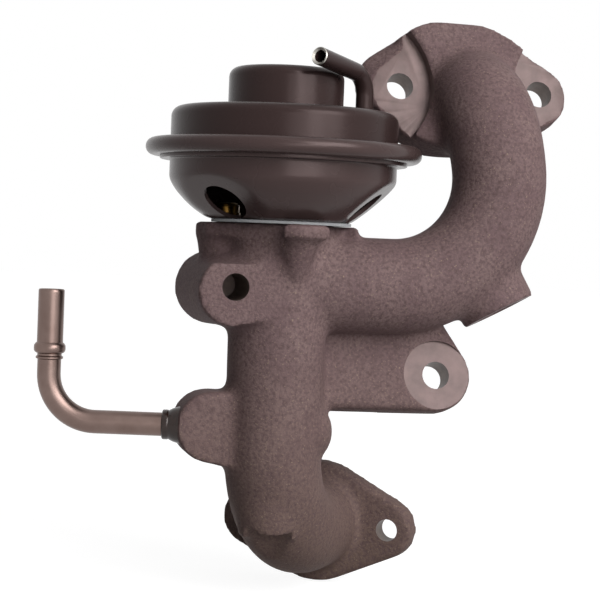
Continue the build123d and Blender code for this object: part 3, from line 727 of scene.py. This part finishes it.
# %% Machined casting
PLUG_R = 6.75              # core opening in the stub
STUB_FACE = (70.2, 1.0, -24.4)
STUB_CUTTER_R, STUB_CLEAR = 16 * MM, 6 * MM
OPENING_DEEP, OPENING_CLEAR = 4 * MM, 5 * MM
STUB_OUT = Vector((tan(radians(26.5)), -tan(radians(14)), -1)).normalized()
cutter(at(*STUB_FACE), STUB_OUT, STUB_CUTTER_R, -SHAVE, STUB_CLEAR, milled_iron)
cutter(at(*STUB_FACE), STUB_OUT, PLUG_R * MM, -OPENING_DEEP, OPENING_CLEAR, drilled_iron)

cut_mesh = applied(skin_mesh, cut)
drop_cutters()
bm = bmesh.new()
bm.from_mesh(cut_mesh)
bmesh.ops.remove_doubles(bm, verts=bm.verts, dist=0.01 * MM)
casting = piece(mesh_from(bm, "casting", list(cut_mesh.materials)), "body_casting")
print("triangles", sum(len(p.vertices) - 2 for p in casting.data.polygons))

# %% [markdown]
# ## Turned profiles
# Pressed and turned metal is a line spun about an axis. The line's corners are rounded as the
# press tool rounds them before the spin, because rounding a few points of a line is much cheaper
# than bevelling a finished shell, and every corner can have its own radius.

# %% Spin helper
SPIN_STEPS = 144
CORNER_STEPS = 8


def turned(outline, corners=(), step=None):
    """Bmesh spun from (radius, height) points in mm. Corners rounds points, by their numbers."""
    bm = bmesh.new()
    line = [bm.verts.new((r, 0, z)) for r, z in outline]
    for low, high in zip(line, line[1:]):
        bm.edges.new((low, high))
    for number, rounding in corners:
        bmesh.ops.bevel(
            bm,
            geom=[line[number]],
            offset=rounding,
            segments=CORNER_STEPS,
            profile=0.5,
            affect="VERTICES",
            material=-1,
        )
    if step:
        for edge in list(bm.edges):
            bmesh.ops.subdivide_edges(bm, edges=[edge], cuts=int(edge.calc_length() / step))
    bmesh.ops.spin(
        bm,
        geom=list(bm.verts) + list(bm.edges),
        axis=(0, 0, 1),
        cent=(0, 0, 0),
        steps=SPIN_STEPS,
        angle=2 * pi,
        use_merge=True,
    )
    bmesh.ops.remove_doubles(bm, verts=bm.verts, dist=0.001)
    bmesh.ops.recalc_face_normals(bm, faces=bm.faces)
    return bm


def place(bm, matrix=TO_FRAME):
    """Moves a bmesh from millimetres to its place in the frame."""
    bmesh.ops.transform(bm, matrix=matrix, verts=bm.verts)
    return bm


print("spin steps", SPIN_STEPS)

# %% [markdown]
# ## Cover
# The upper half of the actuator is a deep-drawn can with a smaller cup on top for the spring. Its
# outline runs over the outside and back along the inside, so the spin gives a closed sheet.

# %% Cover
SHEET = 1.2
CAN_R = 34.0
CAN_TOP = 33.9
CUP_R = 17.25
CUP_TOP = (cover_high.z - VALVE.z) / MM
RIM_R = (cover_high.x - cover_low.x) / 2 / MM + 1.8
RIM_Z = 19.2
CURL_TOP = 24.2
FLANGE_TOP = CURL_TOP - SHEET

cover_shape = turned(
    [
        (0, CUP_TOP),
        (CUP_R, CUP_TOP),
        (CUP_R, CAN_TOP),
        (CAN_R, CAN_TOP),
        (CAN_R, FLANGE_TOP),
        (RIM_R - 2, FLANGE_TOP),
        (RIM_R - 2, FLANGE_TOP - SHEET),
        (CAN_R - SHEET, FLANGE_TOP - SHEET),
        (CAN_R - SHEET, CAN_TOP - SHEET),
        (CUP_R - SHEET, CAN_TOP - SHEET),
        (CUP_R - SHEET, CUP_TOP - SHEET),
        (0, CUP_TOP - SHEET),
    ],
    ((1, 3.0), (2, 1.4), (3, 3.0), (4, 1.6), (8, 1.8), (10, 1.8)),
)
piece(mesh_from(place(cover_shape), "cover", [black_paint]), "upper_cover")
print("cover top", round(CUP_TOP, 2), "rim radius", round(RIM_R, 2))

# %% [markdown]
# ## Lower housing
# The bowl is pressed from one sheet and its edge is rolled over the cover, so one line along the
# outside of the sheet draws bowl, lip and rim, and Solidify gives the sheet its thickness. Three
# soft flats are pressed into the bowl, each with a round window. A point beyond a flat's plane is
# moved back onto it, and a soft limit in place of a hard one leaves the rounded border of a press
# tool.

# %% Housing outline
BOWL_FOOT_R = 22.0
SHAFT_HOLE_R = 6.0
FLOOR = 0.8
BOWL_KNEES = ((27.7, 4.5), (32.5, 9.6))
CREASE_Z = 12.6
CURL = 4.6                 # how far the rolled edge reaches over the cover
LIP = 1.0
LIP_R = 37.0
housing_shape = turned(
    [
        (SHAFT_HOLE_R, FLOOR),
        (BOWL_FOOT_R, FLOOR),
        *BOWL_KNEES,
        (CAN_R, CREASE_Z),
        (CAN_R, RIM_Z - LIP),
        (LIP_R, RIM_Z - LIP),
        (LIP_R, RIM_Z),
        (RIM_R, RIM_Z),
        (RIM_R, CURL_TOP),
        (RIM_R - CURL, CURL_TOP),
    ],
    ((1, 2.0), (2, 2.6), (3, 2.0), (4, 1.0), (5, 0.7), (6, 0.35), (8, 2.4), (9, 2.4)),
    step=0.7,
)
print("housing rows", len(housing_shape.verts) // SPIN_STEPS)

# %% Flats and windows
FLAT_ANGLES = (-143.0, -23.0, 86.0)
FLAT_R, FLAT_Z = 24.8, 5.4
FLAT_FALL = radians(48.8)
FLAT_SOFT = 0.3            # mm, how far the rounded border reaches
FLAT_REACH = 8             # times FLAT_SOFT: nearer points feel the flat
WINDOW_R = 6.9
WINDOW_DEEP = 4 * MM


def flat(angle):
    """Centre of a flat and its normal, which points out and down."""
    turn = Matrix.Rotation(radians(angle), 3, "Z")
    return turn @ Vector((FLAT_R, 0, FLAT_Z)), turn @ Vector((cos(FLAT_FALL), 0, -sin(FLAT_FALL)))


for angle in FLAT_ANGLES:
    centre, normal = flat(angle)
    for vert in housing_shape.verts:
        proud = (vert.co - centre).dot(normal)
        if vert.co.z < RIM_Z - LIP - 0.5 and proud > -FLAT_REACH * FLAT_SOFT:
            vert.co -= normal * FLAT_SOFT * float(np.logaddexp(0, proud / FLAT_SOFT))
for angle in FLAT_ANGLES:
    centre, normal = flat(angle)
    cutter(at(*centre), normal, WINDOW_R * MM, -WINDOW_DEEP, WINDOW_DEEP, bowl_paint_painted_light)
print("windows", len(FLAT_ANGLES))


# %% Housing sheet
def sheet_and_windows(holder):
    """Gives the housing its thickness, then cuts the windows."""
    wall = holder.modifiers.new("sheet", "SOLIDIFY")
    wall.thickness = SHEET * MM
    wall.offset = -1
    wall.use_even_offset = True
    cut(holder)


housing_skin = mesh_from(place(housing_shape), "housing_skin", [bowl_paint_painted_light])
housing_sheet = applied(housing_skin, sheet_and_windows)
drop_cutters()
bm = bmesh.new()
bm.from_mesh(housing_sheet)
housing = piece(mesh_from(bm, "housing", [bowl_paint_painted_light]), "lower_housing")
print("housing triangles", sum(len(p.vertices) - 2 for p in housing.data.polygons))

# %% [markdown]
# ## Bent tubes
# A tube is a ring that is pushed along: straight on, perhaps to another radius, or round a bend.
# Extruding does the straight runs and spinning the bends, as a tube bender would, and Solidify
# gives the wall.

# %% Tube helper
TUBE_SIDES = 64
BEND_STEPS = 20


def bent_tube(start, way, radius, steps):
    """Skin of a tube in mm. A step is (length, radius) straight on, or (bend radius, new way)."""
    bm = bmesh.new()
    way, middle = Vector(way).normalized(), Vector(start)
    turn = way.to_track_quat("Z", "Y").to_matrix().to_4x4()
    start_place = Matrix.Translation(middle) @ turn
    bmesh.ops.create_circle(bm, segments=TUBE_SIDES, radius=radius, matrix=start_place)
    ring = list(bm.edges)
    for size, then in steps:
        if isinstance(then, (int, float)):
            made = bmesh.ops.extrude_edge_only(bm, edges=ring)["geom"]
            verts = [v for v in made if isinstance(v, bmesh.types.BMVert)]
            bmesh.ops.translate(bm, vec=way * size, verts=verts)
            middle = middle + way * size
            to_middle = Matrix.Translation(middle)
            grow = to_middle @ Matrix.Scale(then / radius, 4) @ to_middle.inverted()
            bmesh.ops.transform(bm, matrix=grow, verts=verts)
            radius = then
        else:
            after = Vector(then).normalized()
            angle = way.angle(after)
            axis = way.cross(after).normalized()
            hub = middle + axis.cross(way) * size
            spun = bmesh.ops.spin(bm, geom=ring, cent=hub, axis=axis, angle=angle, steps=BEND_STEPS)
            made = spun["geom_last"]
            verts = [v for v in made if isinstance(v, bmesh.types.BMVert)]
            middle = hub + Matrix.Rotation(angle, 3, axis) @ (middle - hub)
            way = after
        inside = set(verts)
        ring = [e for e in made if isinstance(e, bmesh.types.BMEdge) and set(e.verts) <= inside]
    bmesh.ops.recalc_face_normals(bm, faces=bm.faces)
    return bm


def walled(thickness):
    """Set-up that gives a skin its wall, inwards, in mm."""
    def set_up(holder):
        wall = holder.modifiers.new("wall", "SOLIDIFY")
        wall.thickness = thickness * MM
        wall.offset = -1
        wall.use_even_offset = True
    return set_up


def straight_before(bend, before, after):
    """Length that a bend of this radius takes off the straight run on each side of its corner."""
    return bend * tan(Vector(before).angle(Vector(after)) / 2)


print("tube sides", TUBE_SIDES)

# %% [markdown]
# ## Vacuum nipple
# A thin steel tube is brazed into the cover, rises and leans over towards the front. The hose end
# is cut square, so the bare metal of the cut shows as a thin bright ring.

# %% Nipple
NIPPLE_R = 2.65
NIPPLE_WALL = 0.85
NIPPLE_FOOT = Vector((22.7, -6.0, CAN_TOP - SHEET - 0.6))
NIPPLE_CORNER = Vector((22.7, -6.0, 45.1))
NIPPLE_END = Vector((4.2, -24.0, 48.3))
NIPPLE_BEND = 7.0
NIPPLE_CHAMFER = (0.25, 0.2)       # length, and how much the radius shrinks over it
BARE = 0.35 * MM                   # faces this near the cut end are bare metal

up, over = Vector((0, 0, 1)), NIPPLE_END - NIPPLE_CORNER
cut_back = straight_before(NIPPLE_BEND, up, over)
nipple_shape = bent_tube(
    NIPPLE_FOOT,
    up,
    NIPPLE_R,
    [
        ((NIPPLE_CORNER - NIPPLE_FOOT).length - cut_back, NIPPLE_R),
        (NIPPLE_BEND, over),
        (over.length - cut_back - NIPPLE_CHAMFER[0], NIPPLE_R),
        (NIPPLE_CHAMFER[0], NIPPLE_R - NIPPLE_CHAMFER[1]),
    ],
)
nipple_skin = mesh_from(place(nipple_shape), "nipple_skin", [black_paint, zinc])
nipple_sheet = applied(nipple_skin, walled(NIPPLE_WALL))
bm = bmesh.new()
bm.from_mesh(nipple_sheet)
cut_end = at(*NIPPLE_END)
for face in bm.faces:
    if (face.calc_center_median() - cut_end).dot(over.normalized()) > -BARE:
        face.material_index = 1
piece(mesh_from(bm, "nipple", [black_paint, zinc]), "vacuum_nipple")
print("nipple cut back", round(cut_back, 2))

# %% [markdown]
# ## Pressure tube
# The steel tube leaves its boss to the left, bends upwards and ends in a rolled bead, which keeps
# the hose on, and a slightly swelled end. A second, thin lip lies just under the bead, where the
# rolling tool gripped the tube.

# %% Pressure tube
TUBE_R = 3.5
TUBE_WALL = 0.9
TUBE_END_R = 3.85
TUBE_BEND = 14.0
TUBE_REACH = 37.6
TUBE_SOCKET = 8.0
TUBE_MOUTH = Vector((-30.2, 0, -60.9))
TUBE_TURN = radians(-12.0)
TUBE_TOP_Z = -21.9
BEAD_Z = -39.4
# Steps of length and radius, from the bend to the end.
TUBE_LIP = ((0.3, 4.05), (0.5, 4.05), (0.35, 3.6), (0.55, 3.6))
BEAD = ((0.45, 4.35), (0.5, 4.65), (0.75, 4.7), (0.75, 4.65), (0.5, 4.35), (0.45, TUBE_END_R))
BEFORE_BEAD, AFTER_BEAD = 3.4, 2.7   # lengths of the other steps on each side of its middle

out = Matrix.Rotation(TUBE_TURN, 3, "Z") @ Vector((-1, 0, 0))
rise = BEAD_Z - BEFORE_BEAD - TUBE_MOUTH.z - TUBE_BEND
tube_shape = bent_tube(
    TUBE_MOUTH - out * TUBE_SOCKET,
    out,
    TUBE_R,
    [
        (TUBE_SOCKET + TUBE_REACH - TUBE_BEND, TUBE_R),
        (TUBE_BEND, up),
        (rise, TUBE_R),
        *TUBE_LIP,
        *BEAD,
        (TUBE_TOP_Z - BEAD_Z - AFTER_BEAD, TUBE_END_R),
        (0.6, TUBE_END_R),
        (0.35, TUBE_END_R - 0.25),
    ],
)
tube_skin = mesh_from(place(tube_shape), "tube_skin", [tube_steel])
tube_sheet = applied(tube_skin, walled(TUBE_WALL))
bm = bmesh.new()
bm.from_mesh(tube_sheet)
piece(mesh_from(bm, "pressure_tube_bent", [tube_steel]), "pressure_tube")
print("tube leaves along", tuple(round(c, 2) for c in out))

# %% [markdown]
# ## Collar
# Where the tube enters the boss sits a brazed ring. The braze has run out into a small cone on the
# boss, dark and glassy from the flux.

# %% Collar
collar_shape = turned(
    [
        (TUBE_R, -2.0),
        (5.6, -2.0),
        (5.0, 0.2),
        (4.3, 1.5),
        (4.45, 1.8),
        (4.45, 3.3),
        (TUBE_R, 3.6),
        (TUBE_R, -2.0),
    ],
    ((2, 0.7), (4, 0.15), (5, 0.35)),
)
collar_place = TO_FRAME @ Matrix.Translation(TUBE_MOUTH) @ out.to_track_quat("Z", "Y").to_matrix().to_4x4()
piece(mesh_from(place(collar_shape, collar_place), "collar", [braze]), "tube_collar")
print("collar at", TUBE_MOUTH[:])

# %% [markdown]
# ## Core plug
# The core opening in the stub is closed by a pressed cup, set a little inside the milled face.

# %% Core plug
PLUG_IN = 2.6              # mm from the milled face to the open edge of the cup
plug_shape = turned(
    [(0, 1.6), (4.4, 1.6), (5.15, 0.0), (PLUG_R, 0.0), (PLUG_R, 3.2), (0, 3.2)],
    ((1, 0.8), (2, 0.4), (3, 0.5)),
)
plug_turn = (-STUB_OUT).to_track_quat("Z", "Y").to_matrix().to_4x4()
plug_place = TO_FRAME @ Matrix.Translation(Vector(STUB_FACE) - STUB_OUT * PLUG_IN) @ plug_turn
piece(mesh_from(place(plug_shape, plug_place), "plug", [zinc]), "core_plug")
print("plug", PLUG_IN, "mm inside")

# %% [markdown]
# ## Screws and washers
# Three pan head screws hold the housing on the casting. They stand inside the bowl and glint
# through the windows, so they need a rounded head with a dimple for the driver. The shape is made
# three times inside one mesh, because identical fasteners share one CAD node.

# %% Screws and washers
SCREW_CIRCLE_R = 17.0
SCREW_ANGLES = (-82.0, 38.0, 158.0)
SCREW_R, SCREW_DEPTH = 2.5, 11.0
HEAD_R, HEAD_HEIGHT = 4.0, 3.0
DIMPLE_R, DIMPLE_Z = 1.3, 1.9
WASHER_R, WASHER = 4.3, 0.9
HEAD_LOW = FLOOR + SHEET + WASHER   # underside of a screw head


def three(shape_of, name, cad_node):
    """One piece with a copy of the shape at each screw."""
    bm = bmesh.new()
    for angle in SCREW_ANGLES:
        out_to = Matrix.Translation((SCREW_CIRCLE_R, 0, 0))
        spot = Matrix.Rotation(radians(angle), 4, "Z") @ out_to
        part = shape_of()
        bmesh.ops.transform(part, matrix=TO_FRAME @ spot, verts=part.verts)
        mesh = bpy.data.meshes.new("copy")
        part.to_mesh(mesh)
        part.free()
        bm.from_mesh(mesh)
        bpy.data.meshes.remove(mesh)
    return piece(mesh_from(bm, name, [yellow_zinc]), cad_node)


def screw():
    """Pan head screw about its own axis."""
    top = HEAD_LOW + HEAD_HEIGHT
    return turned(
        [
            (0, HEAD_LOW + DIMPLE_Z),
            (DIMPLE_R, top),
            (HEAD_R, top),
            (HEAD_R, HEAD_LOW),
            (SCREW_R, HEAD_LOW),
            (SCREW_R, -SCREW_DEPTH),
            (0, -SCREW_DEPTH),
        ],
        ((2, 1.4), (5, 0.5)),
    )


def washer():
    """Washer under a screw head."""
    low = FLOOR + SHEET
    return turned(
        [(SCREW_R, low), (WASHER_R, low), (WASHER_R, HEAD_LOW), (SCREW_R, HEAD_LOW), (SCREW_R, low)],
        ((1, 0.2), (2, 0.2)),
    )


three(screw, "screws", "housing_screws")
three(washer, "washers", "screw_washers")
print("screws", len(SCREW_ANGLES))

# %% [markdown]
# ## Inner pieces
# The pieces inside the actuator and the valve chamber keep their CAD shape, which a turned part
# shows well enough through a window. Each gets the material of what it is made of.

# %% Materials on the CAD nodes
INNER = {
    "valve_seat": ground_steel,
    "pintle_head": ground_steel,
    "pintle_nut": ground_steel,
    "valve_stem": ground_steel,
    "stem_washer": ground_steel,
    "stem_nut": ground_steel,
    "stem_guide": bronze,
    "guide_carrier": zinc,
    "soot_deflector": zinc,
    "packing_retainer": zinc,
    "diaphragm_plate_lower": zinc,
    "diaphragm_plate_upper": zinc,
    "return_spring": ground_steel,
    "stem_packing": graphite,
    "housing_gasket": fibre,
    "diaphragm": rubber,
    "spring_insulator": phenolic,
}
for name, material in INNER.items():
    inner = frame["nodes"][name]
    inner.data.materials.clear()
    inner.data.materials.append(material)
print(len(INNER), "inner pieces")

# %% [markdown]
# ## Floor and light
# The part lies before a white sweep. The floor and the world are white to the camera and in
# reflections, but they light the part only softly, and wide lamps above and at the right give the
# shapes their form: the left sides stay darker.

# %% World
AMBIENT_DARK, AMBIENT_LIGHT = 0.0, 0.24
LIGHT_WAY = (0.62, -0.62, 0.48)    # from the part to where most of the soft light comes from


def seen_directly(tree):
    """1 for rays from the camera, in reflections and through glass, and 0 for rays that light."""
    path = node(tree, "ShaderNodeLightPath", {}).outputs
    mirrored = node(tree, "ShaderNodeMath", {
        0: path["Is Glossy Ray"],
        1: path["Is Transmission Ray"],
    }, operation="MAXIMUM")
    seen = node(tree, "ShaderNodeMath", {
        0: path["Is Camera Ray"],
        1: mirrored.outputs[0],
    }, operation="MAXIMUM")
    return seen.outputs[0]


world = bpy.data.worlds.new("white_room")
bpy.context.scene.world = world
world.use_nodes = True
tree = world.node_tree
tree.nodes.clear()
way_out = node(tree, "ShaderNodeTexCoord", {}).outputs["Generated"]
towards = node(tree, "ShaderNodeVectorMath", {0: way_out, 1: LIGHT_WAY}, operation="DOT_PRODUCT")
lit = node(tree, "ShaderNodeMapRange", {
    "Value": towards.outputs["Value"],
    "From Min": -0.3,
    "From Max": 1.0,
    "To Min": AMBIENT_DARK,
    "To Max": AMBIENT_LIGHT,
})
level = node(tree, "ShaderNodeMix", {
    0: seen_directly(tree),
    2: lit.outputs[0],
    3: 1.0,
}, data_type="FLOAT")
white = {"Color": linear("#ffffff"), "Strength": level.outputs[0]}
sky = node(tree, "ShaderNodeBackground", white)
node(tree, "ShaderNodeOutputWorld", {"Surface": sky.outputs[0]})
print("world nodes", len(tree.nodes))

# %% Floor
FLOOR_SIZE = 8.0           # metres, so that its edge is never seen
FLOOR_GLOW = 0.9

bm = bmesh.new()
floor_place = Matrix.Translation((VALVE.x, VALVE.y, cad_low.z))
bmesh.ops.create_grid(bm, x_segments=1, y_segments=1, size=FLOOR_SIZE / 2, matrix=floor_place)
floor_mesh = bpy.data.meshes.new("floor")
bm.to_mesh(floor_mesh)
bm.free()
floor = bpy.data.objects.new("floor", floor_mesh)
bpy.context.scene.collection.objects.link(floor)
floor_white, tree = new_material("floor_paper_white")
glow = node(tree, "ShaderNodeMath", {0: seen_directly(tree), 1: FLOOR_GLOW}, operation="MULTIPLY")
paper = node(tree, "ShaderNodeBsdfPrincipled", {
    "Base Color": linear("#8c8c8c"),
    "Roughness": 0.9,
    "Emission Color": linear("#ffffff"),
    "Emission Strength": glow.outputs[0],
})
node(tree, "ShaderNodeOutputMaterial", {"Surface": paper.outputs[0]})
floor_mesh.materials.append(floor_white)
print("floor at", round(cad_low.z, 4))


# %% Lamps
def lamp(name, where, aim, size, power):
    """Square soft lamp at a place in mm about the valve axis that shines at another."""
    data = bpy.data.lights.new(name, "AREA")
    data.size = size
    data.energy = power
    made = bpy.data.objects.new(name, data)
    bpy.context.scene.collection.objects.link(made)
    spot = at(*where)
    turn = (at(*aim) - spot).to_track_quat("-Z", "Y").to_matrix().to_4x4()
    made.matrix_world = Matrix.Translation(spot) @ turn


lamp("key", (400, -720, 420), (20, 0, -30), 0.6, 8.3)
lamp("front", (120, -880, 0), (20, 0, -30), 0.5, 2.5)
lamp("top", (120, -420, 800), (20, 0, 0), 0.5, 0.5)

scene = bpy.context.scene
scene.view_settings.view_transform = "Standard"
